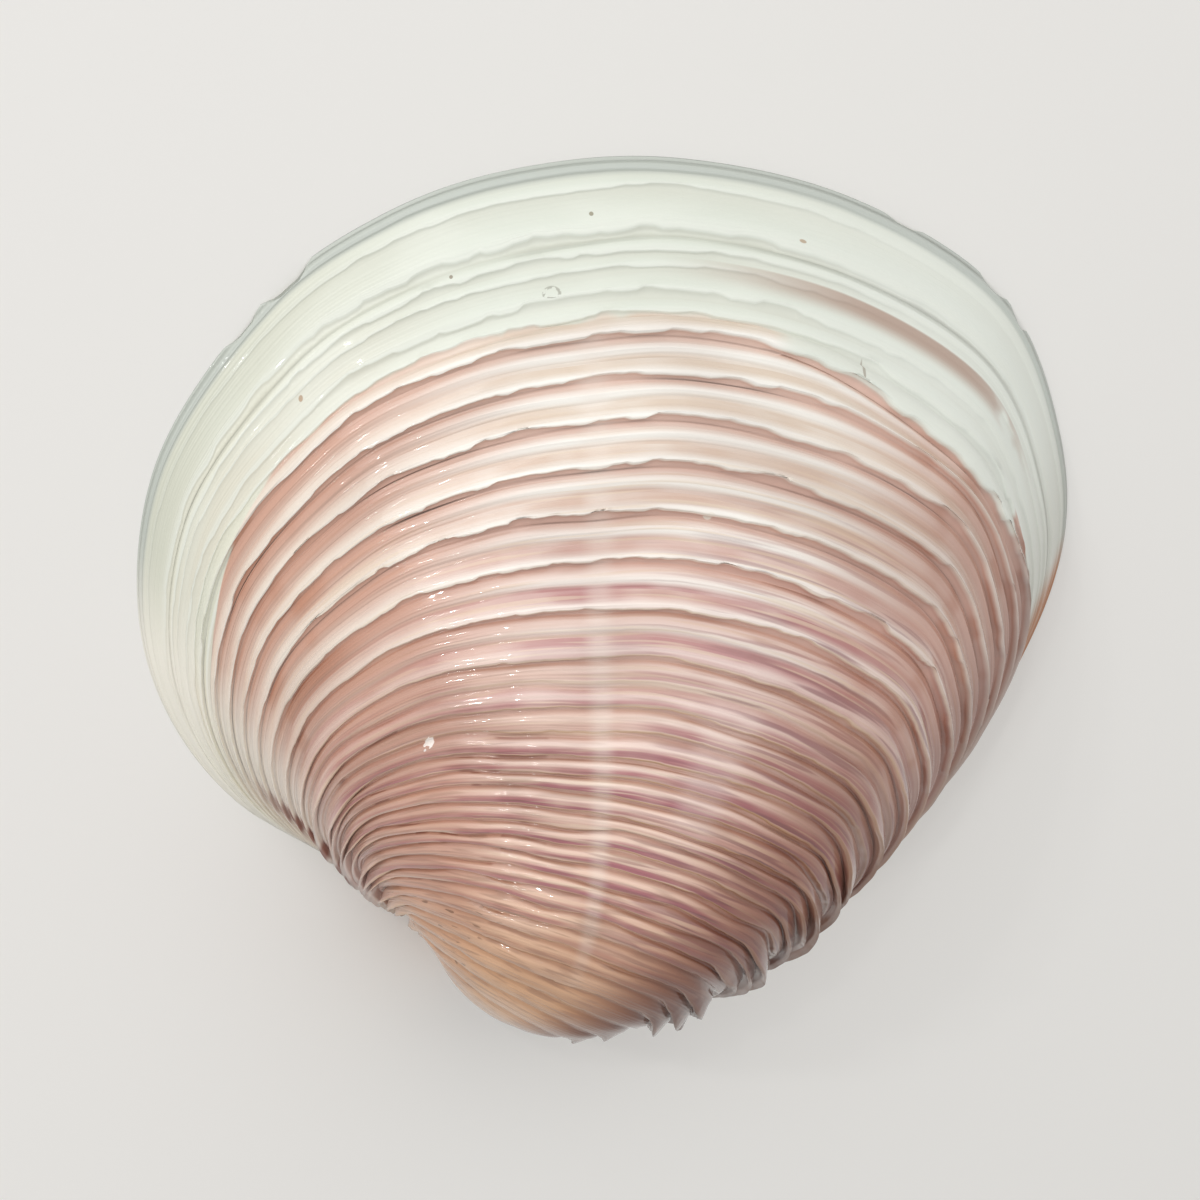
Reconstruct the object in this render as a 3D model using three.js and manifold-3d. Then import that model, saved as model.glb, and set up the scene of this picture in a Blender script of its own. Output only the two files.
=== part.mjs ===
import * as THREE from "three";
import { ParametricGeometry } from "three/addons/geometries/ParametricGeometry.js";
import { mergeVertices } from "three/addons/utils/BufferGeometryUtils.js";
import Module from "manifold-3d";

// Right valve of a Lamelliconcha circinata clam, in millimetres, lying hollow side down on its rim.
// +X is the hind end, +Y the ventral margin, away from the beak, and +Z the outside of the valve.

// How the valve grew: each stage is the rim's outline, shrunk and turned about the hinge axis.
// A stage's size is 1 at the margin and smaller the older it is.
const HINGE_ANGLE = THREE.MathUtils.degToRad(-23.4);
const SHRINK_PER_RADIAN = 1.1;
const EARLY_BULGE = 0.28;
const BEAK_SIZE = 0.055;
const CAVITY_SIZE = 0.17;

// The rim's outline: [distance along the hinge axis, distance out from it], from the beak round
// the front end, the ventral margin and the hind end.
const RIM = [
  [0.2, 0.3],
  [-4.2, 0.7],
  [-12.5, 1.1],
  [-19, 4.7],
  [-22.8, 10.9],
  [-22.8, 17.7],
  [-20.8, 22.2],
  [-17.4, 25.8],
  [-12.2, 28.9],
  [-4.9, 30.9],
  [3.1, 30.8],
  [9.1, 27.7],
  [13.1, 23.4],
  [14.8, 17.2],
  [14.7, 10.5],
  [12.3, 6],
  [7.4, 3.1],
];
const MIDDLE = new THREE.Vector3(-3, 14, 0);
const COLUMNS = 44;

// Ridges, each placed by the size of the stage it grew at: lamellae with a low cord between each
// two, then plain cords up to the beak, and low bands near the margin.
const LAMELLAE = 10;
const FIRST_LAMELLA = 0.8476;
const LAMELLA_STEP = 0.0345;
const STEP_GROWTH = 0.0005;
const LAMELLA_HEIGHT = 0.45;
const BETWEEN_HEIGHT = 0.2;
const CORD_STEP = 0.0185;
const CORD_HEIGHT = 0.28;
const OLDEST_CORD = 0.13;
const BANDS = [0.9865, 0.97, 0.936, 0.918, 0.885, 0.866];
const BAND_HEIGHT = 0.12;
const GROOVE_WIDTH = 0.004;
// Shares of the way round the outline where ridges fade out, in front of the beak and behind it.
const LUNULE = [0.11, 0.17];
const HIND_STRIP = [0.02, 0.1];

// Wall: how far the inner face is pulled in from the outer one, towards the outline's middle.
const RIM_WIDTH = 0.55;
const WALL = 1.7;
const HINGE_PLATE_WIDTH = 3.1;
const HINGE_PLATE_ENDS = [0.1, 0.24];
// Stages of the inner face: the hinge plate is as deep as the first ones reach, and the umbo's
// hollow follows.
const PLATE_STAGES = [0.97, 0.9, 0.8, 0.7, 0.62];
const HOLLOW_STAGES = [0.54, 0.45, 0.36, 0.28, 0.22, CAVITY_SIZE];

// Sockets between the hinge teeth, cut up into the hinge plate from the rest plane:
// [along and out where it starts, along and out where it ends, width].
const SOCKETS = [
  [-0.6, 1.1, -1.9, 2.7, 0.5],
  [0.2, 1.1, 0.3, 2.9, 0.8],
  [0.9, 1.2, 2.6, 3.0, 0.7],
  [2.2, 1.5, 5.0, 3.6, 0.5],
  [-7.4, 2.0, -4.6, 1.8, 0.8],
];
const SOCKET_DEPTH = 0.8;

const UP = new THREE.Vector3(0, 0, 1);
const outline = new THREE.CatmullRomCurve3(
  RIM.map(([along, out]) => new THREE.Vector3(along, out, 0)),
  true,
  "catmullrom",
  0.5,
);

// Where a point of the rim's plane was when the valve had this size.
function swing(along, out, size) {
  const turn = -Math.log(size) / SHRINK_PER_RADIAN;
  const bulge = 1 + EARLY_BULGE * (1 - size);
  const place = new THREE.Vector3(along, out * Math.cos(turn), out * Math.sin(turn) * bulge);
  return place.multiplyScalar(size).applyAxisAngle(UP, HINGE_ANGLE);
}

// The outer face without its ridges.
function smoothFace(around, size) {
  const point = outline.getPoint((around + 1) % 1);
  return swing(point.x, point.y, size);
}

function outward(around, size) {
  const step = 1e-3;
  const onward = smoothFace(around + step, size).sub(smoothFace(around - step, size));
  const older = smoothFace(around, size * (1 - step)).sub(smoothFace(around, size * (1 + step)));
  return older.cross(onward).normalize();
}

function ridgeFade(around) {
  const inFront = THREE.MathUtils.smoothstep(around, ...LUNULE);
  const behind = THREE.MathUtils.smoothstep(1 - around, ...HIND_STRIP);
  return inFront * behind;
}

function outerRow(size, height) {
  return (around) => {
    const lift = height * ridgeFade(around);
    return smoothFace(around, size).addScaledVector(outward(around, size), lift);
  };
}

// A row of the inner face, pulled in by the wall, and by the hinge plate near the beak.
function innerRow(size, wall, plate) {
  return (around) => {
    const point = outline.getPoint(around);
    const fromBeak = Math.min(around, 1 - around);
    const nearBeak = 1 - THREE.MathUtils.smoothstep(fromBeak, ...HINGE_PLATE_ENDS);
    const pull = THREE.MathUtils.lerp(wall, plate, nearBeak) / size;
    point.lerp(MIDDLE, Math.min(pull / point.distanceTo(MIDDLE), 0.9));
    return swing(point.x, point.y, size);
  };
}

// Stages that carry the ridges: [size, height].
function ridgeStages() {
  const stages = [];
  const groove = (size) => stages.push([size - GROOVE_WIDTH, 0]);
  for (const size of BANDS) {
    groove(size);
    stages.push([size, BAND_HEIGHT]);
  }
  let size = FIRST_LAMELLA;
  for (let n = 0; n < LAMELLAE; n++) {
    size = FIRST_LAMELLA - LAMELLA_STEP * n - STEP_GROWTH * n * n;
    groove(size);
    stages.push([size, LAMELLA_HEIGHT]);
    stages.push([size + 0.4 * LAMELLA_STEP, BETWEEN_HEIGHT / 2]);
    stages.push([size + 0.6 * LAMELLA_STEP, BETWEEN_HEIGHT]);
  }
  for (size -= CORD_STEP; size > OLDEST_CORD; size -= CORD_STEP) {
    groove(size);
    stages.push([size, CORD_HEIGHT * Math.min(1, size / 0.35)]);
  }
  return stages.sort((a, b) => a[0] - b[0]);
}

// All rows in order: from the beak over the outside to the rim, then inside to the umbo's hollow.
function rows() {
  const pole = (size) => () => swing(MIDDLE.x, MIDDLE.y, size);
  const thickness = (size) => WALL * (0.6 + 0.4 * size);
  return [
    pole(BEAK_SIZE),
    ...[BEAK_SIZE, 0.075, 0.1].map((size) => outerRow(size, 0)),
    ...ridgeStages().map(([size, height]) => outerRow(size, height)),
    outerRow(1, 0),
    innerRow(1, RIM_WIDTH, HINGE_PLATE_WIDTH),
    ...PLATE_STAGES.map((size) => innerRow(size, thickness(size), HINGE_PLATE_WIDTH)),
    ...HOLLOW_STAGES.map((size) => innerRow(size, thickness(size), thickness(size))),
    pole(CAVITY_SIZE),
  ];
}

const wasm = await Module();
wasm.setup();

function solidOf(geometry) {
  geometry.deleteAttribute("normal");
  geometry.deleteAttribute("uv");
  const merged = mergeVertices(geometry, 1e-4);
  const mesh = new wasm.Mesh({
    numProp: 3,
    vertProperties: merged.attributes.position.array,
    triVerts: new Uint32Array(merged.index.array),
  });
  return new wasm.Manifold(mesh);
}

function geometryOf(solid) {
  const mesh = solid.getMesh();
  const geometry = new THREE.BufferGeometry();
  geometry.setAttribute("position", new THREE.BufferAttribute(mesh.vertProperties, 3));
  geometry.setIndex(new THREE.BufferAttribute(mesh.triVerts, 1));
  return geometry;
}

function valveSolid() {
  const all = rows();
  const last = all.length - 1;
  const face = (u, v, target) => target.copy(all[Math.round(v * last)](u % 1));
  return solidOf(new ParametricGeometry(face, COLUMNS, last));
}

function socketSolid([along, out, toAlong, toOut, width]) {
  const length = Math.hypot(toAlong - along, toOut - out);
  const block = new THREE.BoxGeometry(length, width, 2 * SOCKET_DEPTH);
  block.rotateZ(Math.atan2(toOut - out, toAlong - along));
  block.translate((along + toAlong) / 2, (out + toOut) / 2, 0);
  block.rotateZ(HINGE_ANGLE);
  return solidOf(block);
}

// The row's origin is the middle of the valve's box in plan, at the rest plane.
function centred(geometry) {
  geometry.computeBoundingBox();
  const { min, max } = geometry.boundingBox;
  return geometry.translate(-(min.x + max.x) / 2, -(min.y + max.y) / 2, -min.z);
}

const carved = SOCKETS.reduce((solid, socket) => solid.subtract(socketSolid(socket)), valveSolid());
const valve = new THREE.Mesh(
  centred(geometryOf(carved)),
  new THREE.MeshStandardMaterial({ color: 0xdcc7b8, roughness: 0.3, metalness: 0 }),
);
valve.name = "right_valve";

const part = new THREE.Group();
part.add(valve);
export default part;
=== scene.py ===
import math

import bpy
import numpy as np
from mathutils import Matrix, Vector


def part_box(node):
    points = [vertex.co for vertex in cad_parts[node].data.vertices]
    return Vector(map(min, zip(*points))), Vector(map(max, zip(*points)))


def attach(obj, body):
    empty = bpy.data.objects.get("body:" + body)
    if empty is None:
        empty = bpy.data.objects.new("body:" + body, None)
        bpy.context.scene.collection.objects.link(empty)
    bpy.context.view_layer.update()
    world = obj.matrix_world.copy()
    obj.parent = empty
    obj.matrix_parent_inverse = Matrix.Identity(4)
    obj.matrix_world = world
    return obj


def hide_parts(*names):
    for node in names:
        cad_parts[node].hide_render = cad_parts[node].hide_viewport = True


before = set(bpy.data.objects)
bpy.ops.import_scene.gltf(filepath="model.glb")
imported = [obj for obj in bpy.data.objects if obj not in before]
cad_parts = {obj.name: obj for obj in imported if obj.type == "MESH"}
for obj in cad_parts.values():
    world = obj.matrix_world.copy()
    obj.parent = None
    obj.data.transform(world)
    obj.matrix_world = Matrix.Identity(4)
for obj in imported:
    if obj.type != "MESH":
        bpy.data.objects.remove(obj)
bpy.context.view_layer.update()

# Right valve of a Lamelliconcha circinata clam, hollow side down on its rim. Shapes are worked out
# in millimetres and go to Blender in metres. +X is the hind end, +Y the ventral margin.
MM = 0.001

# How the valve grew: each stage is the rim's outline, shrunk and turned about the hinge axis.
# A stage's size is 1 at the margin and smaller the older it is.
HINGE_ANGLE = math.radians(-23.4)
SHRINK_PER_RADIAN = 1.1
EARLY_BULGE = 0.28
BEAK_SIZE = 0.055
CAVITY_SIZE = 0.17

# The rim's outline: [distance along the hinge axis, distance out from it], from the beak round
# the front end, the ventral margin and the hind end.
RIM = [
    [0.2, 0.3],
    [-4.2, 0.7],
    [-12.5, 1.1],
    [-19, 4.7],
    [-22.8, 10.9],
    [-22.8, 17.7],
    [-20.8, 22.2],
    [-17.4, 25.8],
    [-12.2, 28.9],
    [-4.9, 30.9],
    [3.1, 30.8],
    [9.1, 27.7],
    [13.1, 23.4],
    [14.8, 17.2],
    [14.7, 10.5],
    [12.3, 6],
    [7.4, 3.1],
]
MIDDLE = np.array([-3.0, 14.0])

# Ridges, each placed by the size of the stage it grew at. Lamellae have a lower fold behind each
# lip, which grows into a cord of its own towards the beak.
LAMELLAE = 10
FIRST_LAMELLA = 0.8476
LAMELLA_STEP = 0.0345
STEP_GROWTH = 0.0005
LAMELLA_HEIGHT = 0.38
LIP_SHARE = 0.45
CORD_STEP = 0.0167
OLD_STEP_GROWTH = 0.34
OLD_STEP_SIZE = 0.42
CORD_HEIGHT = 0.23
OLDEST_CORD = 0.13
OLD_LOOK, YOUNG_LOOK = 0.47, 0.66
CORD_WANDER, LAMELLA_WANDER = 0.0034, 0.0014

# The low steps of the white shell by the margin: [size, height].
BANDS = [
    [0.9875, 0.1],
    [0.972, 0.06],
    [0.934, 0.15],
    [0.917, 0.1],
    [0.9035, 0.07],
    [0.88, 0.1],
    [0.8635, 0.1],
]

# How far the folds next to the newest lamella dip towards the beak at the hind end, oldest first,
# and where.
HIND_DIPS = [0.003, 0.012, 0.022, 0.01, 0.004]
DIP_PLACE = (0.5, 0.58, 0.6, 0.69)

# Stretches of the outline: the smooth field before the beak and the smooth strip behind it, and
# the steep flanks, where folds stand up as plates that lean over by a share of the fold's width.
LUNULE = (0.11, 0.15)
HIND_STRIP = (0.02, 0.1)
FRONT_FLANK = (0.12, 0.15, 0.2, 0.26)
HIND_FLANK = (0.58, 0.66, 0.82, 0.92)
FLANK_PLATE = 0.5
OVERHANG = 0.45

# The sizes at which the newest, whiter shell begins.
NEWEST = (0.865, 0.885)

# Tears in a ragged row: [how many may start round the outline, depth as a share of the valve's
# size]. A fold narrower than ROOM_TO_TEAR has shallower ones.
BROAD_TEARS = (41, 0.0034)
NARROW_TEARS = (118, 0.0024)
FINE_TEARS = (230, 0.0009)
ROOM_TO_TEAR = 0.022

# Unevenness round the outline: [how many bends, how far]. A lip's ripple and a cord's swell are
# shares of its height, the others shares of the valve's size.
WAVER = (19, 0.0022)
LIP_RIPPLE = (90, 0.12)
CORD_SWELL = (11, 0.3)
WANDER_BENDS = 21

# Folds in section, from the groove under the lip towards the margin: [place, as a share of the way
# to the next fold; height, as a share of the ridge's; raggedness of that row].
LIP_SECTION = [
    [-0.14, 0.08, 0],
    [-0.05, 0.0, 0],
    [0.0, 0.32, 0.9],
    [0.01, 0.74, 1],
    [0.05, 0.96, 1],
    [0.17, 1.0, 0.4],
    [0.42, 0.78, 0],
    [0.76, 0.46, 0],
]
LOW_SECTION = [
    [-0.02, 0.3, 0],
    [0.12, 0.3, 0],
    [0.26, 0.42, 0],
    [0.38, 0.54, 0],
    [0.5, 0.52, 0],
    [0.64, 0.34, 0],
    [0.77, 0.16, 0],
    [0.89, 0.05, 0],
]
CORD_SECTION = [
    [-0.18, 0.1, 0],
    [-0.09, 0.0, 0],
    [-0.02, 0.28, 0.8],
    [0.02, 0.6, 1],
    [0.1, 0.8, 0.6],
    [0.3, 0.82, 0],
    [0.56, 0.92, 0],
    [0.76, 0.52, 0],
]
BAND_SECTION = [
    [-0.15, 0.0, 0],
    [-0.03, 0.08, 1],
    [0.02, 0.8, 1],
    [0.08, 1.0, 1],
    [0.36, 0.7, 0],
    [0.68, 0.25, 0],
]

# How high a plate on the flanks stands above each row of its fold.
PLATE_SECTION = [0, 0.1, 0.65, 1, 0.72, 0.3, 0.1, 0]

# Wall: how far the inner face is pulled in from the outer one, towards the outline's middle. Each
# socket between the hinge teeth runs from one point of the plate to another: [two numbers for each
# point, width].
RIM_WIDTH = 0.55
WALL = 1.7
HINGE_PLATE_WIDTH = 3.1
HINGE_PLATE_ENDS = (0.1, 0.24)
SOCKETS = [
    [-0.6, 1.1, -1.9, 2.7, 0.5],
    [0.2, 1.1, 0.3, 2.9, 0.8],
    [0.9, 1.2, 2.6, 3.0, 0.7],
    [2.2, 1.5, 5.0, 3.6, 0.5],
    [-7.4, 2.0, -4.6, 1.8, 0.8],
]
SOCKET_DEPTH = 0.8

# Rows without a ridge: sizes of the beak's and the margin's, shares of the way across the rim, and
# sizes inside, where the hinge plate ends below the sizes of PLATE_END.
BEAK_ROWS = (BEAK_SIZE, 0.07, 0.09, 0.11)
MARGIN_ROWS = (0.9955, 0.999, 1.0)
RIM_ROWS = (0.06, 0.2, 0.34, 0.48, 0.62, 0.76, 0.9, 1.0)
INNER_ROWS = (0.985, 0.96, 0.93, 0.89, 0.84, 0.79, 0.74, 0.69, 0.65, 0.62)
UMBO_ROWS = (0.58, 0.54, 0.49, 0.44, 0.39, 0.34, 0.29, 0.24, 0.2, CAVITY_SIZE)
PLATE_END = (0.5, 0.62)

COLUMNS = 250


def smoothstep(value, low, high):
    share = np.clip((value - low) / (high - low), 0, 1)
    return share * share * (3 - 2 * share)


def between(value, low, start, end, high):
    """1 from start to end, falling smoothly to 0 at low and at high."""
    return smoothstep(value, low, start) * (1 - smoothstep(value, end, high))


def outline(around):
    """The rim's points for these shares of the way round it."""
    points = np.array(RIM)
    place = (np.asarray(around) % 1) * len(points)
    first = np.floor(place).astype(int)
    t = (place - first)[..., None]
    a, b, c, d = (points[(first + k) % len(points)] for k in (-1, 0, 1, 2))
    bend = (2 * a - 5 * b + 4 * c - d) * t**2
    return 0.5 * (2 * b + (c - a) * t + bend + (3 * b - a - 3 * c + d) * t**3)


def swing(points, size):
    """Where points of the rim's plane were when the valve had this size."""
    turn = -np.log(size) / SHRINK_PER_RADIAN
    bulge = 1 + EARLY_BULGE * (1 - size)
    x = points[..., 0]
    y = points[..., 1] * np.cos(turn)
    z = points[..., 1] * np.sin(turn) * bulge
    cos, sin = math.cos(HINGE_ANGLE), math.sin(HINGE_ANGLE)
    return np.stack([x * cos - y * sin, x * sin + y * cos, z], -1) * np.asarray(size)[..., None]


def outward(around, size):
    """The outer face's normal."""
    step = 1e-3
    onward = swing(outline(around + step), size) - swing(outline(around - step), size)
    older = swing(outline(around), size * (1 - step)) - swing(outline(around), size * (1 + step))
    normal = np.cross(older, onward)
    return normal / np.linalg.norm(normal, axis=-1, keepdims=True)


def wave(around, cells, seed):
    """Smooth random values from -1 to 1 round the outline."""
    values = np.random.default_rng(seed).uniform(-1, 1, cells)
    place = around * cells
    first = np.floor(place).astype(int)
    t = smoothstep(place - first, 0, 1)
    return values[first % cells] * (1 - t) + values[(first + 1) % cells] * t


def column_places():
    """Shares of the way round the outline, closer together where the ridges show best."""
    fine = np.linspace(0, 1, 4001)
    density = 0.45 + smoothstep(fine, 0.1, 0.16) - smoothstep(fine, 0.7, 0.78)
    total = np.concatenate([[0], np.cumsum((density[1:] + density[:-1]) / 2)])
    return np.interp(np.arange(COLUMNS) / COLUMNS, total / total[-1], fine)


AROUND = column_places()


class Row:
    """One row of the mesh: its points, and the values that its paint reads."""

    def __init__(self, points, size, fold=0.0, inside=0.0):
        self.points = points
        self.size = np.broadcast_to(size, AROUND.shape)
        self.fold = np.broadcast_to(fold, AROUND.shape)
        self.inside = np.broadcast_to(inside, AROUND.shape)


def ridge_fade():
    """0 on the smooth field and strip next to the beak, and 1 where ridges have their full height."""
    return smoothstep(AROUND, *LUNULE) * smoothstep(1 - AROUND, *HIND_STRIP)


def flanks():
    """1 on the steep sides next to the beak, where the folds stand up as plates."""
    return between(AROUND, *FRONT_FLANK) + between(AROUND, *HIND_FLANK)


# Chips in the margin: [place round it, half width, depth as a share of the valve's size].
MARGIN_CHIPS = [
    [0.307, 0.014, 0.011],
    [0.285, 0.009, 0.007],
    [0.548, 0.007, 0.004],
    [0.585, 0.008, 0.006],
    [0.602, 0.006, 0.007],
]


def margin_chips():
    """How far the margin is chipped back."""
    chips = np.zeros_like(AROUND)
    for place, width, depth in MARGIN_CHIPS:
        chips = np.maximum(chips, depth * smoothstep(width - np.abs(AROUND - place), 0, width * 0.7))
    return chips


def calm(size):
    """How much lower the lamellae are on the front flank, and the newest steps at both ends."""
    newest = smoothstep(size, *NEWEST)
    share = 0.45 * smoothstep(size, 0.5, 0.62) + 0.25 * newest
    hind = 0.5 * smoothstep(AROUND, 0.5, 0.56) * newest
    return 1 - share * (1 - smoothstep(AROUND, 0.27, 0.38)) - hind


def outer_row(size, height, ragged, fold, seed, overhang=0.0):
    """A row of the outside; ragged rows are chipped back from the beak's side."""
    torn = BROAD_TEARS[1] * smoothstep(wave(AROUND, BROAD_TEARS[0], seed), -0.1, 0.4)
    torn = torn + NARROW_TEARS[1] * smoothstep(wave(AROUND, NARROW_TEARS[0], seed + 1), 0.1, 0.5)
    torn = torn + FINE_TEARS[1] * wave(AROUND, FINE_TEARS[0], seed + 3)
    torn = torn * (1 - 0.6 * smoothstep(AROUND, 0.5, 0.56) * smoothstep(size, *NEWEST))
    young = smoothstep(size, 0.56, 0.7)
    frill = 0.3 + 0.7 * young
    waver = WAVER[1] * wave(AROUND, WAVER[0], 5)
    waver = waver * smoothstep(size, 0.2, 0.6) * smoothstep(1 - size, 0, 0.06)
    frill = frill * smoothstep(1 - size, 0.0, 0.04)
    placed = size + waver + ragged * torn * frill - overhang * ragged * flanks()
    placed = np.minimum(placed, 1 - margin_chips())
    ripple = LIP_RIPPLE[1] * ragged * frill * wave(AROUND, LIP_RIPPLE[0], seed + 2)
    swell = CORD_SWELL[1] * (1 - young) * wave(AROUND, CORD_SWELL[0], seed + 7)
    tall = height * ridge_fade() * (1 + ripple) * (1 + swell) * calm(size)
    points = swing(outline(AROUND), placed) + outward(AROUND, placed) * tall[:, None]
    return Row(points, size, fold)


class Fold:
    """A fold of the outside: where it starts and ends, how high it is, and its section."""

    def __init__(self, size, end, height, section, plate=0.0):
        self.size = size
        self.end = end
        self.height = height
        self.section = section
        self.plate = plate

    def rows(self, number):
        made = []
        for row, (place, share, ragged) in enumerate(self.section):
            size = self.size + place * (self.end - self.size)
            height = self.height * share
            if self.plate:
                height = height + self.plate * PLATE_SECTION[row] * flanks()
            overhang = OVERHANG * self.plate / FLANK_PLATE * (self.end - self.size)
            fold = number + row / len(self.section)
            loose = ragged * np.minimum(1, (self.end - self.size) / ROOM_TO_TEAR)
            made.append(outer_row(size, height, loose, fold, 100 + 10 * number, overhang))
        return made


def blend(young, old, share):
    """A section between two others, all young where share is 1."""
    return [[a + (b - a) * share for a, b in zip(*rows)] for rows in zip(old, young)]


def lamella_folds(size, end):
    """A lamella: the fold with the lip and the low fold behind it, more alike towards the beak."""
    look = float(smoothstep(size, OLD_LOOK, YOUNG_LOOK))
    middle = size + (0.5 + (LIP_SHARE - 0.5) * look) * (end - size)
    height = CORD_HEIGHT + (LAMELLA_HEIGHT - CORD_HEIGHT) * look
    plate = FLANK_PLATE * (1 - 0.85 * look)
    lip = Fold(size, middle, height, blend(LIP_SECTION, CORD_SECTION, look), plate)
    low = Fold(middle, end, height, blend(LOW_SECTION, CORD_SECTION, look))
    return [lip, low]


def older_cords(size):
    """The sizes of the cords older than this one, an even number of them, oldest first."""
    cords = []
    while size > OLDEST_CORD or len(cords) % 2:
        size -= CORD_STEP + OLD_STEP_GROWTH * max(0, OLD_STEP_SIZE - size) ** 2
        cords.append(size)
    return cords[::-1]


def all_folds():
    """Every fold from the beak to the margin. Each lamella's lip has an even number."""
    lamellae = [FIRST_LAMELLA - LAMELLA_STEP * n - STEP_GROWTH * n * n for n in range(LAMELLAE)][::-1]
    cords = older_cords(lamellae[0])
    folds = []
    for number, (size, end) in enumerate(zip(cords, cords[1:] + lamellae[:1])):
        height = CORD_HEIGHT * min(1, size / 0.35)
        plate = FLANK_PLATE * min(1, size / 0.3) if number % 4 else 0
        folds.append(Fold(size, end, height, CORD_SECTION, plate))
    for size, end in zip(lamellae, lamellae[1:]):
        folds += lamella_folds(size, end)
    bands = BANDS[::-1]
    folds.append(Fold(lamellae[-1], bands[0][0], LAMELLA_HEIGHT, LIP_SECTION))
    ends = [size for size, height in bands[1:]] + [1.0]
    for (size, height), end in zip(bands, ends):
        folds.append(Fold(size, end, height, BAND_SECTION))
    return wandering(folds)


def wandering(folds):
    """The folds with their places no longer quite parallel."""
    dips = np.zeros(len(folds))
    before_dips = len(folds) - len(BANDS) - 3
    dips[before_dips:before_dips + len(HIND_DIPS)] = HIND_DIPS
    dip = between(AROUND, *DIP_PLACE)
    for number, (fold, after) in enumerate(zip(folds, folds[1:])):
        old = 1 - smoothstep(after.size, 0.48, 0.62)
        reach = LAMELLA_WANDER + (CORD_WANDER - LAMELLA_WANDER) * old
        reach = reach * (1 - smoothstep(after.size, 0.9, 0.96)) * smoothstep(after.size, 0.13, 0.2)
        wander = reach * wave(AROUND, WANDER_BENDS, 400 + number)
        after.size = after.size + wander - dips[number + 1] * dip
        fold.end = after.size
    return folds


def socket_depth(points):
    """How far the sockets between the hinge teeth go up into the plate."""
    depth = np.zeros(len(points))
    for along, out, to_along, to_out, width in SOCKETS:
        start, end = np.array([along, out]), np.array([to_along, to_out])
        share = np.clip((points - start) @ (end - start) / ((end - start) @ (end - start)), 0, 1)
        gap = np.linalg.norm(points - start - share[:, None] * (end - start), axis=1)
        depth = np.maximum(depth, SOCKET_DEPTH * (1 - smoothstep(gap, width * 0.3, width * 0.75)))
    return depth


def inner_points(size, wall, plate, share=1.0):
    """The outline pulled in by this share of the wall, or of the hinge plate near the beak."""
    points = outline(AROUND)
    near_beak = 1 - smoothstep(np.minimum(AROUND, 1 - AROUND), *HINGE_PLATE_ENDS)
    pull = share * (wall + (plate - wall) * near_beak) / size
    to_middle = MIDDLE - points
    reach = np.minimum(pull / np.linalg.norm(to_middle, axis=1), 0.9)
    return points + to_middle * reach[:, None]


def plate_row(share):
    """A row of the flat rim and hinge plate, this share of the way in."""
    flat = inner_points(1.0, RIM_WIDTH, HINGE_PLATE_WIDTH, share)
    points = swing(flat, 1 - margin_chips() * (1 - share))
    points[:, 2] = 0
    points[:, 2] += socket_depth(flat)
    return Row(points, 1.0, inside=0.5 + 0.5 * share)


def inner_row(size, wall, plate):
    """A row of the hollow's face."""
    return Row(swing(inner_points(size, wall, plate), size), size, inside=1.0)


def pole(size, inside):
    """A row drawn together to one point, which closes the mesh at an end."""
    point = swing(MIDDLE, np.float64(size))
    return Row(np.broadcast_to(point, (COLUMNS, 3)), size, inside=inside)


def wall_at(size):
    """The wall's thickness, less towards the beak."""
    return WALL * (0.6 + 0.4 * size)


def all_rows():
    """Rows from the beak over the outside to the rim, then inside to the umbo's hollow."""
    rows = [pole(BEAK_SIZE, 0.0)]
    for size in BEAK_ROWS:
        rows.append(outer_row(size, 0, 0, 0, 1))
    folds = all_folds()
    for number, fold in enumerate(folds):
        rows += fold.rows(number)
    for size in MARGIN_ROWS:
        rows.append(outer_row(size, 0, 0, len(folds), 1))
    for share in RIM_ROWS:
        rows.append(plate_row(share))
    for size in INNER_ROWS:
        rows.append(inner_row(size, wall_at(size), HINGE_PLATE_WIDTH))
    for size in UMBO_ROWS:
        plate = wall_at(size) + (HINGE_PLATE_WIDTH - wall_at(size)) * smoothstep(size, *PLATE_END)
        rows.append(inner_row(size, wall_at(size), plate))
    rows.append(pole(CAVITY_SIZE, 1.0))
    return rows


def flatten(rings):
    """One value for each vertex: the rings' values, with a single one at each pole."""
    return np.concatenate([rings[0][:1]] + rings[1:-1] + [rings[-1][:1]])


def grid_faces(rings):
    """Faces between this many rings of vertices and a single vertex at each end."""
    faces = []
    last = 1 + rings * COLUMNS
    for k in range(COLUMNS):
        n = (k + 1) % COLUMNS
        faces.append((0, 1 + k, 1 + n))
        faces.append((last, last - COLUMNS + n, last - COLUMNS + k))
        for ring in range(rings - 1):
            base = 1 + ring * COLUMNS
            faces.append((base + k, base + COLUMNS + k, base + COLUMNS + n, base + n))
    return faces


def valve_mesh():
    """The valve's mesh in metres, and where its beak ends up, in millimetres."""
    rows = all_rows()
    points = flatten([row.points for row in rows])
    low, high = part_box("right_valve")
    shift = (np.array(low) + np.array(high)) / 2 / MM - (points.min(0) + points.max(0)) / 2
    shift[2] = low[2] / MM - points[:, 2].min()
    mesh = bpy.data.meshes.new("right_valve_shell")
    mesh.from_pydata(((points + shift) * MM).tolist(), [], grid_faces(len(rows) - 2))
    for name in ("size", "fold", "inside"):
        values = flatten([getattr(row, name) for row in rows]).astype(np.float32)
        mesh.attributes.new(name, "FLOAT", "POINT").data.foreach_set("value", values)
    values = flatten([AROUND for row in rows]).astype(np.float32)
    mesh.attributes.new("around", "FLOAT", "POINT").data.foreach_set("value", values)
    mesh.polygons.foreach_set("use_smooth", np.ones(len(mesh.polygons), dtype=bool))
    mesh.update()
    return mesh, shift


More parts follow.
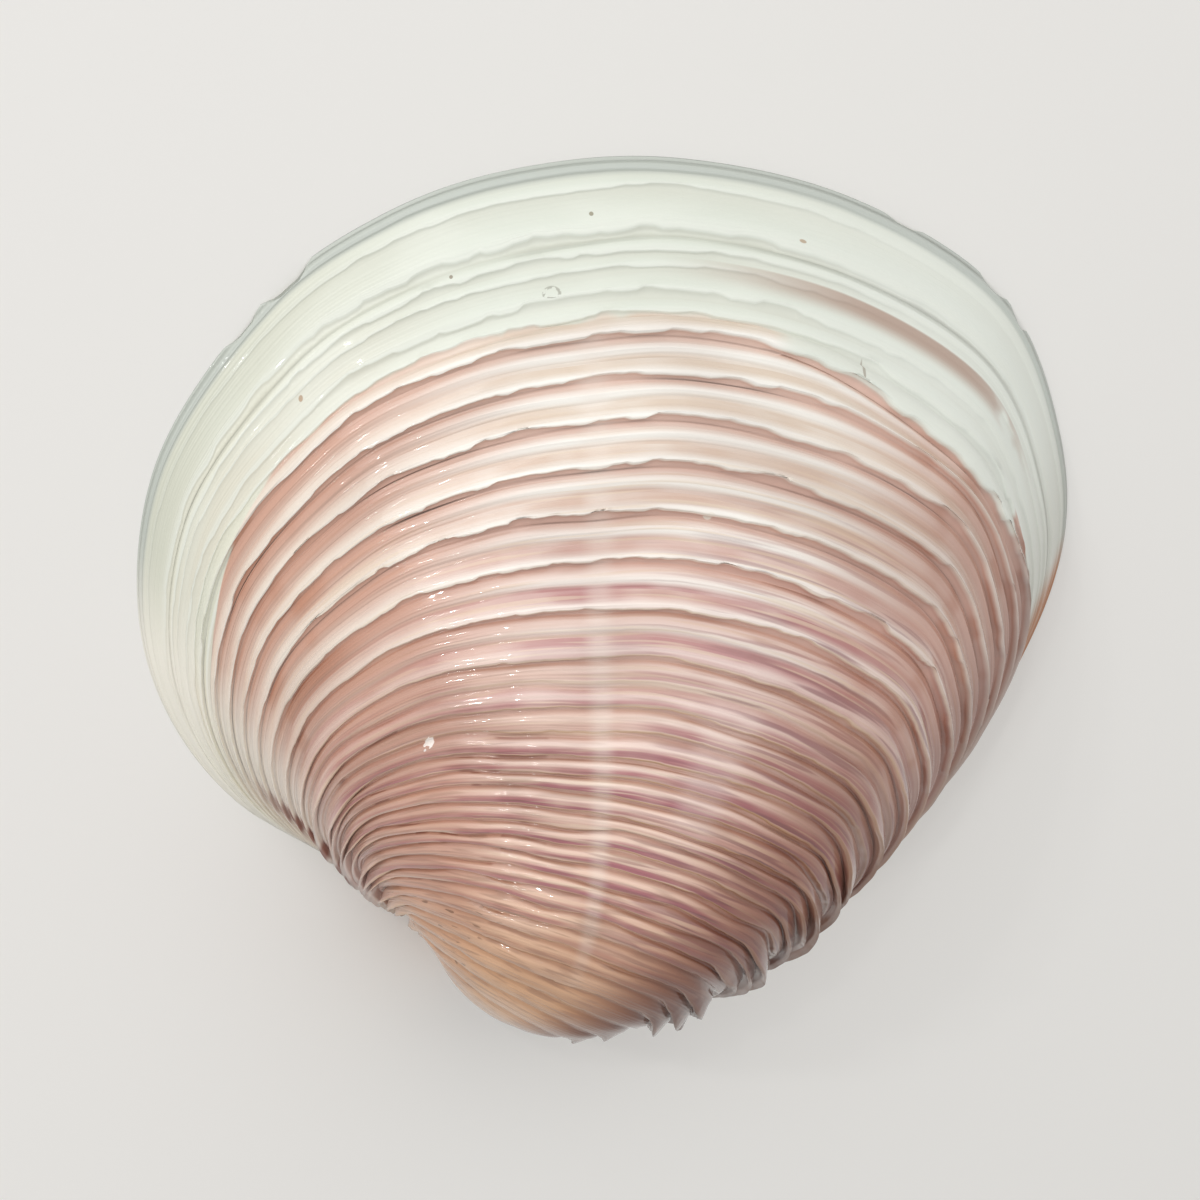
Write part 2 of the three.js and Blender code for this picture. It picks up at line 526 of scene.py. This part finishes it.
class Paint:
    """A short way to write a material's nodes."""

    def __init__(self, name):
        self.material = bpy.data.materials.new(name)
        self.material.use_nodes = True
        self.tree = self.material.node_tree
        self.shader = self.tree.nodes["Principled BSDF"]

    def put(self, socket, value):
        if isinstance(value, bpy.types.NodeSocket):
            self.tree.links.new(value, socket)
        elif isinstance(value, str):
            socket.default_value = (*srgb(value), 1)
        else:
            socket.default_value = value

    def value(self, name):
        node = self.tree.nodes.new("ShaderNodeAttribute")
        node.attribute_name = name
        return node.outputs["Fac"]

    def math(self, operation, a, b=0.0):
        node = self.tree.nodes.new("ShaderNodeMath")
        node.operation = operation
        self.put(node.inputs[0], a)
        self.put(node.inputs[1], b)
        return node.outputs[0]

    def times(self, first, *others):
        for other in others:
            first = self.math("MULTIPLY", first, other)
        return first

    def without(self, value):
        return self.math("SUBTRACT", 1.0, value)

    def rise(self, value, low, high):
        """0 below low and 1 above high, smooth between them."""
        node = self.tree.nodes.new("ShaderNodeMapRange")
        node.interpolation_type = "SMOOTHSTEP"
        self.put(node.inputs["Value"], value)
        node.inputs["From Min"].default_value = low
        node.inputs["From Max"].default_value = high
        return node.outputs["Result"]

    def between(self, value, low, start, end, high):
        """1 from start to end, falling smoothly to 0 at low and at high."""
        return self.times(self.rise(value, low, start), self.without(self.rise(value, end, high)))

    def ramp(self, value, stops):
        """A colour or number for each value: [value, hexadecimal colour or number]."""
        node = self.tree.nodes.new("ShaderNodeValToRGB")
        ramp = node.color_ramp
        while len(ramp.elements) < len(stops):
            ramp.elements.new(0.5)
        for element, (place, colour) in zip(ramp.elements, stops):
            element.position = place
            rgb = srgb(colour) if isinstance(colour, str) else (colour,) * 3
            element.color = (*rgb, 1)
        self.put(node.inputs["Fac"], value)
        return node.outputs["Color"]

    def mix(self, share, a, b, blend_type="MIX"):
        node = self.tree.nodes.new("ShaderNodeMix")
        node.data_type = "RGBA"
        node.blend_type = blend_type
        self.put(node.inputs["Factor"], share)
        colours = [socket for socket in node.inputs if socket.type == "RGBA"]
        self.put(colours[0], a)
        self.put(colours[1], b)
        return node.outputs[2]

    def tint(self, base, share, strength, colour, blend_type="MIX"):
        """base with colour laid over it, at this strength where share is 1."""
        return self.mix(self.times(share, strength), base, colour, blend_type)

    def vector(self, x, y, z=0.0):
        node = self.tree.nodes.new("ShaderNodeCombineXYZ")
        for socket, value in zip(node.inputs, (x, y, z)):
            self.put(socket, value)
        return node.outputs[0]

    def noise(self, x, y, z=0.0, detail=1.0):
        node = self.tree.nodes.new("ShaderNodeTexNoise")
        self.put(node.inputs["Vector"], self.vector(x, y, z))
        node.inputs["Scale"].default_value = 1.0
        node.inputs["Detail"].default_value = detail
        return node.outputs["Fac"]

    def bump(self, height, distance):
        """Relief on the shader's normal, as high as distance where height is 1."""
        node = self.tree.nodes.new("ShaderNodeBump")
        node.inputs["Distance"].default_value = distance
        self.put(node.inputs["Height"], height)
        self.put(self.shader.inputs["Normal"], node.outputs["Normal"])


def srgb(code):
    """A linear colour from a hexadecimal sRGB one."""
    parts = [int(code[i:i + 2], 16) / 255 for i in (0, 2, 4)]
    return tuple(c / 12.92 if c <= 0.04045 else ((c + 0.055) / 1.055) ** 2.4 for c in parts)


# Colours along growth, each [size, colour].
# Crests: their own cream, painted whiter than the newest white shell as a painted sheen on the ridges.
CREST_COLOURS = [
    (0.0, "c4a07a"), (0.22, "dcb08e"), (0.34, "e6c0a8"), (0.48, "f3d8ca"), (0.6, "f9ebe2"),
    (0.72, "faf6ee"),
]
BAND_COLOURS = [
    (0.0, "b48a62"), (0.2, "c2946e"), (0.32, "c48f7c"), (0.45, "c6908a"), (0.56, "cfa298"),
    (0.67, "dcb9a8"), (0.8, "e3d1be"),
]
LIP_COLOURS = [(0.0, "c29c72"), (0.48, "cba682"), (0.58, "dcc0a4"), (0.68, "f0e6d8"), (0.85, "f7f4ec")]
GROOVE_COLOURS = [
    (0.0, "a67c58"), (0.25, "b27c60"), (0.45, "b98470"), (0.56, "bc8a74"), (0.67, "d4a08c"),
    (0.85, "dfb5a1"),
]
FRONT_COLOURS = [(0.36, "ead2cc"), (0.56, "f3e9de"), (0.8, "f6f1e4")]
INSIDE_COLOURS = [
    (0.2, "c79a92"), (0.42, "dcbcb0"), (0.58, "efdfd4"), (0.72, "f3ece3"), (1.0, "f0ece2"),
]

# Marks, each [size, around] and how far it reaches in each: a ring, a lip broken away, pale and
# partly a painted glint, the two muscle scars inside, and specks and scratches with their colours.
RING = ((0.89, 0.418), (0.0062, 0.0036))
BROKEN_LIP_AND_GLINT = ((0.517, 0.309), (0.0055, 0.0045))
MUSCLE_SCARS = [((0.76, 0.2), (0.075, 0.03)), ((0.8, 0.745), (0.075, 0.035))]
SPECKS = [
    [(0.898, 0.294), (0.0035, 0.0012), "b08d6c"],
    [(0.952, 0.438), (0.0022, 0.0010), "8d8468"],
    [(0.944, 0.512), (0.0018, 0.0014), "b59a7c"],
    [(0.852, 0.537), (0.0085, 0.0007), "a9a091"],
    [(0.702, 0.482), (0.0035, 0.0022), "efe6d8"],
    [(0.925, 0.376), (0.0020, 0.0010), "8b7d6a"],
]


class FoldPaint:
    """How much of each colour a place on a fold takes, from how far across the fold it is."""

    def __init__(self, paint, size, fold):
        cord = paint.math("FRACT", fold)
        lamella = paint.math("FRACT", paint.math("MULTIPLY", fold, 0.5))
        look = paint.rise(size, OLD_LOOK, YOUNG_LOOK)

        def share(old, young):
            return paint.mix(look, paint.ramp(cord, old), paint.ramp(lamella, young))

        self.groove = share(
            [(0, 0.9), (0.15, 0.6), (0.27, 0), (0.82, 0), (0.9, 0.6), (1, 0.9)],
            [
                (0, 0.9), (0.13, 0.8), (0.19, 0), (0.7, 0), (0.8, 0.35), (0.88, 0.7), (0.94, 0.9),
                (1, 0.9),
            ])
        self.flank = share(
            [(0, 0.9), (0.15, 0.6), (0.27, 0), (0.5, 0), (0.65, 0.6), (1, 0.9)],
            [(0, 0.9), (0.13, 0.7), (0.19, 0), (0.4, 0.1), (0.54, 0.6), (0.7, 0.85), (1, 0.9)])
        self.lip = share(
            [(0.22, 0), (0.32, 1), (0.47, 1), (0.52, 0)],
            [(0.15, 0), (0.18, 1), (0.25, 1), (0.3, 0)])
        self.band = share(
            [(0.49, 0), (0.53, 1), (0.64, 1), (0.75, 0)],
            [(0.34, 0), (0.42, 1), (0.54, 1), (0.63, 0)])


def white_zone(paint, size, around, fold):
    """The newest, greenish white shell by the margin."""
    step = paint.math("FRACT", fold)
    front = paint.without(paint.rise(around, 0.24, 0.4))
    white = paint.mix(front, "dfe4d8", "e3e2d1")
    # Painted light: the white shell is painted lighter on its hind side, where the lamps reach less.
    white = paint.mix(paint.rise(around, 0.46, 0.58), white, "e9ede4")
    shade = paint.times(
        paint.between(size, 0.86, 0.875, 0.9, 0.925),
        paint.without(paint.rise(around, 0.28, 0.4)))
    white = paint.tint(white, shade, 0.25, "d6c9b8")
    # Painted shade under each lip of the white steps, fainter towards the front and hind ends.
    crowded = paint.math("MAXIMUM", front, paint.rise(around, 0.5, 0.56))
    crisp = paint.without(paint.times(crowded, 0.6))
    under_lip_shade = paint.ramp(step, [(0, 0.9), (0.2, 0.8), (0.3, 0), (0.66, 0), (0.85, 0.5), (1, 0.9)])
    white = paint.tint(white, paint.times(under_lip_shade, crisp), 0.42, "cbc8b8")
    # A painted highlight along each lip's edge.
    lip_highlight = paint.ramp(step, [(0.25, 0), (0.35, 1), (0.5, 1), (0.7, 0)])
    white = paint.tint(white, lip_highlight, 0.7, "ebeee4")
    cloud = paint.noise(paint.times(around, 18.0), paint.times(size, 26.0), 5.0)
    white = paint.tint(white, paint.rise(cloud, 0.42, 0.65), 0.35, "e9ece1")
    outer = paint.times(paint.rise(size, 0.93, 0.955), front)
    white = paint.tint(white, outer, 0.7, "cdcfbf")
    edge = paint.rise(size, 0.982, 0.989)
    white = paint.tint(white, edge, 0.8, "b9bfb8")
    patchy = paint.noise(paint.times(around, 70.0), paint.times(size, 60.0), 8.0)
    patchy = paint.math("ADD", patchy, paint.without(paint.rise(around, 0.54, 0.61)))
    streak = paint.times(
        paint.between(size, 0.888, 0.903, 0.91, 0.9125),
        paint.between(around, 0.455, 0.545, 0.575, 0.655),
        paint.rise(patchy, 0.36, 0.68))
    white = paint.tint(white, streak, 0.8, "b08e7c")
    # Painted shade: the far hind side is darkened.
    far = paint.rise(around, 0.62, 0.69)
    return paint.tint(white, far, 0.5, "d0cac6", "MULTIPLY")


def coloured_zone(paint, size, around, fold):
    """The older shell: cream crests, beige and mauve bands, ochre lips and brown grooves."""
    parts = FoldPaint(paint, size, fold)
    whole = paint.math("FLOOR", fold)
    along = paint.noise(paint.times(around, 34.0), paint.times(whole, 5.3))
    tone = paint.noise(paint.times(around, 6.0), paint.times(whole, 3.7), 11.0)
    older = paint.without(paint.rise(size, 0.52, 0.7))

    crest = paint.ramp(size, CREST_COLOURS)
    band = paint.ramp(size, BAND_COLOURS)
    lip = paint.ramp(size, LIP_COLOURS)
    groove = paint.ramp(size, GROOVE_COLOURS)

    left = paint.without(paint.rise(around, 0.26, 0.42))
    front_end = paint.without(paint.rise(around, 0.205, 0.25))
    right = paint.rise(around, 0.49, 0.62)
    groove = paint.tint(groove, left, 0.85, paint.mix(older, "c5866a", "bc826c"))
    band = paint.tint(band, left, 0.6, paint.mix(older, "dfb096", "cf9f8c"))
    crest = paint.tint(crest, left, 0.6, paint.mix(older, "eaddcb", "e8c8b6"))
    crest = paint.tint(crest, front_end, 0.6, "ecd3c4")
    groove = paint.tint(groove, front_end, 0.65, "dfb8a4")

    mauve = paint.times(
        paint.rise(tone, 0.38, 0.52),
        paint.between(size, 0.26, 0.4, 0.6, 0.72))
    sides = paint.without(paint.between(around, 0.3, 0.42, 0.52, 0.61))
    dark = paint.mix(sides, parts.groove, paint.math("MAXIMUM", parts.groove, parts.flank))

    bare = paint.times(left, paint.without(older), 0.8)
    patches = paint.ramp(along, [(0.3, 0.6), (0.6, 1.0)])
    band_share = paint.times(parts.band, patches, paint.without(bare))
    colour = paint.mix(band_share, crest, band)
    colour = paint.tint(colour, paint.times(mauve, band_share), 0.95, "ad6a72")
    colour = paint.tint(colour, paint.times(older, paint.rise(tone, 0.5, 0.3)), 0.5, "e8c8b4")
    mauve_lines = paint.noise(paint.times(around, 15.0), paint.times(size, 180.0), 21.0)
    mauve_lines = paint.times(
        paint.rise(mauve_lines, 0.5, 0.64),
        paint.rise(around, 0.4, 0.56),
        paint.between(size, 0.26, 0.36, 0.6, 0.8))
    colour = paint.tint(colour, mauve_lines, 0.75, "8e5b62")
    cream_lines = paint.noise(paint.times(around, 12.0), paint.times(size, 240.0), 9.0)
    cream_lines = paint.times(
        paint.rise(cream_lines, 0.54, 0.66),
        paint.between(size, 0.28, 0.4, 0.7, 0.84))
    cream = paint.math("ADD", 0.45, paint.times(right, 0.25))
    colour = paint.tint(colour, cream_lines, cream, "ecd8bd")
    colour = paint.mix(parts.lip, colour, lip)
    colour = paint.tint(colour, dark, 0.95, groove)
    blotched_front = paint.between(around, 0.195, 0.212, 0.255, 0.29)
    blotched_hind = paint.between(around, 0.55, 0.58, 0.66, 0.69)
    blotch = paint.times(
        paint.rise(along, 0.5, 0.66),
        paint.math("MAXIMUM", blotched_front, blotched_hind),
        paint.rise(size, 0.5, 0.62),
        dark)
    colour = paint.tint(colour, blotch, 0.6, "bb7a58")
    # Painted shadow: dark brown patches in the grooves where lips are broken away.
    broken = paint.noise(paint.times(around, 24.0), paint.times(whole, 9.1), 2.0)
    at_lip = paint.ramp(paint.math("FRACT", fold), [(0, 1), (0.4, 1), (0.47, 0), (0.86, 0), (0.92, 1)])
    broken = paint.times(
        paint.rise(broken, 0.58, 0.63),
        paint.between(around, 0.19, 0.24, 0.36, 0.46),
        paint.between(size, 0.18, 0.21, 0.52, 0.58),
        at_lip)
    colour = paint.tint(colour, broken, 0.7, "965c48")

    umbo = paint.without(paint.rise(size, 0.22, 0.38))
    colour = paint.tint(colour, umbo, 0.65, "cc9e74")
    # Darker and mauver towards the hind side: partly its own colour, partly painted shade.
    colour = paint.tint(colour, right, 0.6, "e2ccc4", "MULTIPLY")
    # Painted shade on the hind side of the older shell, deepest and brownest round the beak.
    shaded = paint.times(paint.rise(around, 0.48, 0.6), paint.without(paint.rise(size, 0.42, 0.64)))
    colour = paint.tint(colour, shaded, 0.7, "b48a72", "MULTIPLY")
    tip_shade = paint.times(paint.rise(around, 0.49, 0.62), paint.without(paint.rise(size, 0.26, 0.42)))
    colour = paint.tint(colour, tip_shade, 0.85, "967050", "MULTIPLY")
    # Painted shade: the far hind side is darkened.
    far = paint.rise(around, 0.61, 0.69)
    colour = paint.tint(colour, far, 0.6, "c0b2b2", "MULTIPLY")
    bend = paint.math("MAXIMUM", paint.math("SUBTRACT", 0.67, size), 0.0)
    ray = paint.math("SUBTRACT", around, paint.times(bend, bend, 0.4))
    pale_ray = paint.times(paint.between(ray, 0.42, 0.43, 0.432, 0.442), paint.rise(size, 0.24, 0.36))
    colour = paint.tint(colour, pale_ray, 0.3, "f6ebe0")
    patch = paint.times(
        paint.between(around, 0.49, 0.503, 0.515, 0.53),
        paint.between(size, 0.42, 0.46, 0.54, 0.6))
    colour = paint.tint(colour, patch, 0.25, "f0dcd4")
    hair = paint.noise(paint.times(around, 22.0), paint.times(size, 230.0))
    hair = paint.times(paint.rise(hair, 0.5, 0.66), paint.without(paint.rise(size, 0.3, 0.7)))
    colour = paint.tint(colour, hair, 0.4, "8d6450")
    pits = paint.noise(paint.times(around, 46.0), paint.times(size, 150.0), 4.0)
    pits = paint.times(
        paint.rise(pits, 0.66, 0.72),
        paint.between(size, 0.17, 0.2, 0.3, 0.34),
        paint.without(paint.rise(around, 0.34, 0.42)))
    colour = paint.tint(colour, pits, 0.8, "7a5234")
    wide = paint.noise(paint.times(around, 11.0), paint.times(size, 9.0), 7.0, detail=0.0)
    return paint.tint(colour, paint.rise(wide, 0.45, 0.7), 0.2, "a88676", "MULTIPLY")


def oval(paint, size, around, middle, half):
    """Distance from an oval's middle, 1 on its edge; middle and half are [size, around]."""
    up = paint.times(paint.math("SUBTRACT", size, middle[0]), 1 / half[0])
    across = paint.times(paint.math("SUBTRACT", around, middle[1]), 1 / half[1])
    return paint.math("SQRT", paint.math("ADD", paint.times(up, up), paint.times(across, across)))


def marks(paint, size, around, colour):
    """A ring on the newest shell, specks, a hairline and a broken lip with a painted glint."""
    ring = oval(paint, size, around, *RING)
    ring = paint.between(ring, 0.65, 0.85, 1.0, 1.2)
    dashes = paint.rise(paint.noise(paint.times(around, 420.0), paint.times(size, 250.0)), 0.42, 0.5)
    colour = paint.tint(colour, paint.times(ring, dashes), 0.7, "9b9a8d")
    for middle, half, shade in SPECKS:
        spot = paint.without(paint.rise(oval(paint, size, around, middle, half), 0.7, 1.0))
        colour = paint.tint(colour, spot, 0.8, shade)
    edge = paint.noise(paint.times(around, 260.0), paint.times(size, 260.0), 3.0)
    edge = paint.times(paint.math("SUBTRACT", edge, 0.5), 2.6)
    # The broken lip: a pale patch, partly its broken face and partly a painted glint.
    scar = paint.math("ADD", oval(paint, size, around, *BROKEN_LIP_AND_GLINT), edge)
    return paint.mix(paint.without(paint.rise(scar, 0.75, 1.0)), colour, "f8efe8")


def outer_material(newest_lamella):
    """The outside: coloured up to the newest lamella or a little beyond it, then greenish white."""
    paint = Paint("shell_outside")
    size = paint.value("size")
    around = paint.value("around")
    fold = paint.value("fold")
    wobble = paint.math("SUBTRACT", paint.noise(paint.times(around, 60.0), 3.0), 0.5)
    hind = paint.math("ADD", paint.between(around, 0.47, 0.56, 0.6, 0.66), paint.times(wobble, 0.36))
    covered = paint.times(
        paint.rise(fold, newest_lamella + 0.2, newest_lamella + 0.36),
        paint.rise(hind, 0.3, 0.5))
    front_border = paint.times(paint.without(paint.rise(around, 0.2, 0.28)), 0.036)
    reach = paint.math("ADD", paint.math("ADD", size, paint.times(wobble, 0.006)), front_border)
    young = paint.math("MAXIMUM", covered, paint.rise(reach, 0.8615, 0.8645))
    coloured = coloured_zone(paint, size, around, fold)
    colour = paint.mix(young, coloured, white_zone(paint, size, around, fold))

    pale_front = paint.times(paint.without(paint.rise(around, 0.178, 0.22)), paint.rise(size, 0.26, 0.4))
    colour = paint.tint(colour, pale_front, 0.88, paint.ramp(size, FRONT_COLOURS))
    cord_ends = paint.times(
        paint.between(around, 0.17, 0.185, 0.205, 0.24),
        paint.between(size, 0.24, 0.3, 0.5, 0.62))
    colour = paint.tint(colour, cord_ends, 0.4, "ead2ca")
    line = paint.times(
        paint.between(around, 0.146, 0.152, 0.158, 0.165),
        paint.between(size, 0.4, 0.46, 0.6, 0.8))
    colour = paint.tint(colour, line, 0.85, "9a5a48")
    hind_edge = paint.times(paint.rise(around, 0.69, 0.715), paint.rise(size, 0.86, 0.94))
    strip = paint.math("MAXIMUM", hind_edge, paint.rise(around, 0.8, 0.86))
    colour = paint.tint(colour, strip, 0.85, "b5754a")

    colour = marks(paint, size, around, colour)

    paint.put(paint.shader.inputs["Base Color"], colour)
    paint.shader.inputs["Roughness"].default_value = 0.42
    paint.put(paint.shader.inputs["Coat Weight"], paint.math("SUBTRACT", 0.85, paint.times(young, 0.65)))
    paint.shader.inputs["Coat Roughness"].default_value = 0.06
    lines = paint.noise(paint.times(around, 12.0), paint.times(size, 420.0), detail=0.0)
    grain = paint.noise(paint.times(around, 480.0), paint.times(size, 170.0), 6.0, detail=0.0)
    relief = paint.math("ADD", lines, paint.times(grain, 0.06))
    paint.bump(paint.times(relief, paint.without(paint.times(young, 0.6))), 0.00004)
    return paint.material


def inner_material():
    """Porcelain white, blushed in the umbo's hollow, with muscle scars and the mantle's line."""
    paint = Paint("shell_inside")
    size = paint.value("size")
    around = paint.value("around")
    inside = paint.value("inside")
    blush = paint.noise(paint.times(around, 5.0), paint.times(size, 6.0), 2.0)
    blush = paint.math("ADD", size, paint.times(paint.math("SUBTRACT", blush, 0.5), 0.3))
    colour = paint.ramp(blush, INSIDE_COLOURS)
    sinus = paint.times(paint.between(around, 0.57, 0.63, 0.64, 0.69), 0.2)
    from_line = paint.math("SUBTRACT", size, paint.math("SUBTRACT", 0.83, sinus))
    outside_line = paint.rise(from_line, -0.004, 0.004)
    colour = paint.tint(colour, outside_line, 0.5, "e3dfd2")
    line = paint.times(
        paint.between(from_line, -0.012, -0.004, 0.002, 0.01),
        paint.between(around, 0.2, 0.22, 0.72, 0.74))
    colour = paint.tint(colour, line, 0.5, "cfc3b2")
    scars = None
    for middle, half in MUSCLE_SCARS:
        scar = paint.without(paint.rise(oval(paint, size, around, middle, half), 0.9, 1.0))
        scars = scar if scars is None else paint.math("MAXIMUM", scars, scar)
    colour = paint.tint(colour, scars, 0.55, "ddcfbd")
    rim = paint.without(paint.rise(inside, 0.5, 0.62))
    colour = paint.tint(colour, rim, 0.6, "cdd0c6")
    paint.put(paint.shader.inputs["Base Color"], colour)
    paint.shader.inputs["Roughness"].default_value = 0.24
    paint.shader.inputs["Subsurface Weight"].default_value = 0.2
    paint.shader.inputs["Subsurface Scale"].default_value = 0.0008
    paint.shader.inputs["Coat Weight"].default_value = 0.4
    paint.shader.inputs["Coat Roughness"].default_value = 0.1
    growth = paint.noise(paint.times(around, 8.0), paint.times(size, 120.0), detail=3.0)
    relief = paint.math("ADD", paint.times(growth, 0.25), paint.times(scars, -0.5))
    paint.bump(paint.math("ADD", relief, paint.times(line, -0.4)), 0.0001)
    return paint.material


# A face takes the inside's paint where all its corners are further in than this.
INSIDE_PAINT = 0.4


def make_valve():
    """Makes the valve and tells where its beak is."""
    mesh, shift = valve_mesh()
    valve = bpy.data.objects.new("valve", mesh)
    bpy.context.collection.objects.link(valve)
    mesh.materials.append(outer_material(len(all_folds()) - len(BANDS) - 1))
    mesh.materials.append(inner_material())
    inside = np.zeros(len(mesh.vertices), dtype=np.float32)
    mesh.attributes["inside"].data.foreach_get("value", inside)
    for polygon in mesh.polygons:
        polygon.material_index = int(min(inside[list(polygon.vertices)]) > INSIDE_PAINT)
    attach(valve, "root")
    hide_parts("right_valve")
    return shift


# The photograph's view: how far the camera leans, the point it looks at from the beak, in
# millimetres, and how far away it is.
LEAN_TO_MARGIN = math.radians(27.46)
LEAN_TO_FRONT = math.radians(27.73)
AIM_FROM_BEAK = (1.57, 14.21)
CAMERA_DISTANCE = 131.5
FIELD_OF_VIEW = math.radians(18.92)


def view_axes():
    """The photograph's rightward, upward and camera-ward directions."""
    cos_m, sin_m = math.cos(LEAN_TO_MARGIN), math.sin(LEAN_TO_MARGIN)
    cos_f, sin_f = math.cos(LEAN_TO_FRONT), math.sin(LEAN_TO_FRONT)
    right = Vector((cos_f, sin_f * sin_m, sin_f * cos_m))
    up = Vector((0, cos_m, -sin_m))
    back = Vector((-sin_f, cos_f * sin_m, cos_f * cos_m))
    return right, up, back


def make_camera(beak):
    right, up, back = view_axes()
    aim = Vector((beak[0] + AIM_FROM_BEAK[0], beak[1] + AIM_FROM_BEAK[1], 0)) * MM
    camera = bpy.data.objects.new("camera", bpy.data.cameras.new("camera"))
    camera.data.angle = FIELD_OF_VIEW
    camera.data.clip_start = 0.005
    turned = Matrix((right, up, back)).transposed().to_4x4()
    camera.matrix_world = Matrix.Translation(aim + back * CAMERA_DISTANCE * MM) @ turned
    bpy.context.collection.objects.link(camera)
    bpy.context.scene.camera = camera


def make_floor():
    """A square floor, 1.2 metres from the valve to each side."""
    reach = 1.2
    corners = [(-reach, -reach, 0), (reach, -reach, 0), (reach, reach, 0), (-reach, reach, 0)]
    mesh = bpy.data.meshes.new("floor")
    mesh.from_pydata(corners, [], [(0, 1, 2, 3)])
    floor = bpy.data.objects.new("floor", mesh)
    paint = Paint("floor")
    paint.put(paint.shader.inputs["Base Color"], "f2f0ec")
    paint.shader.inputs["Roughness"].default_value = 0.7
    mesh.materials.append(paint.material)
    bpy.context.collection.objects.link(floor)


# Square lights round the photograph's view: [direction as rightward, upward and camera-ward parts,
# distance, width, power], in metres and watts. The glints are small, for sparks on the wet lips.
KEY = ((-0.2, 0.42, 0.88), 0.4, 0.36, 0.46)
FILL = ((0.6, 0.35, 0.7), 0.5, 0.4, 0.36)
GLINTS = [
    ((rightward, upward, 0.85), 0.4, 0.013, 0.06)
    for rightward in (-0.4, -0.33, -0.1)
    for upward in (-0.25, 0.15)
]
ROOM_LIGHT = 0.56


def make_light(name, parts, distance, size, power):
    """A square light turned to the valve, from a direction given in the photograph's own terms."""
    direction = sum((axis * part for axis, part in zip(view_axes(), parts)), Vector()).normalized()
    light = bpy.data.lights.new(name, "AREA")
    light.size = size
    light.energy = power
    lamp = bpy.data.objects.new(name, light)
    lamp.location = direction * distance
    lamp.rotation_euler = (-direction).to_track_quat("-Z", "Y").to_euler()
    bpy.context.collection.objects.link(lamp)


def make_lights():
    make_light("key", *KEY)
    make_light("fill", *FILL)
    for glint in GLINTS:
        make_light("glint", *glint)
    world = bpy.data.worlds.new("room")
    world.use_nodes = True
    background = world.node_tree.nodes["Background"]
    background.inputs["Color"].default_value = (1, 1, 1, 1)
    background.inputs["Strength"].default_value = ROOM_LIGHT
    bpy.context.scene.world = world
    bpy.context.scene.view_settings.view_transform = "Standard"


beak = make_valve()
make_camera(beak)
make_floor()
make_lights()
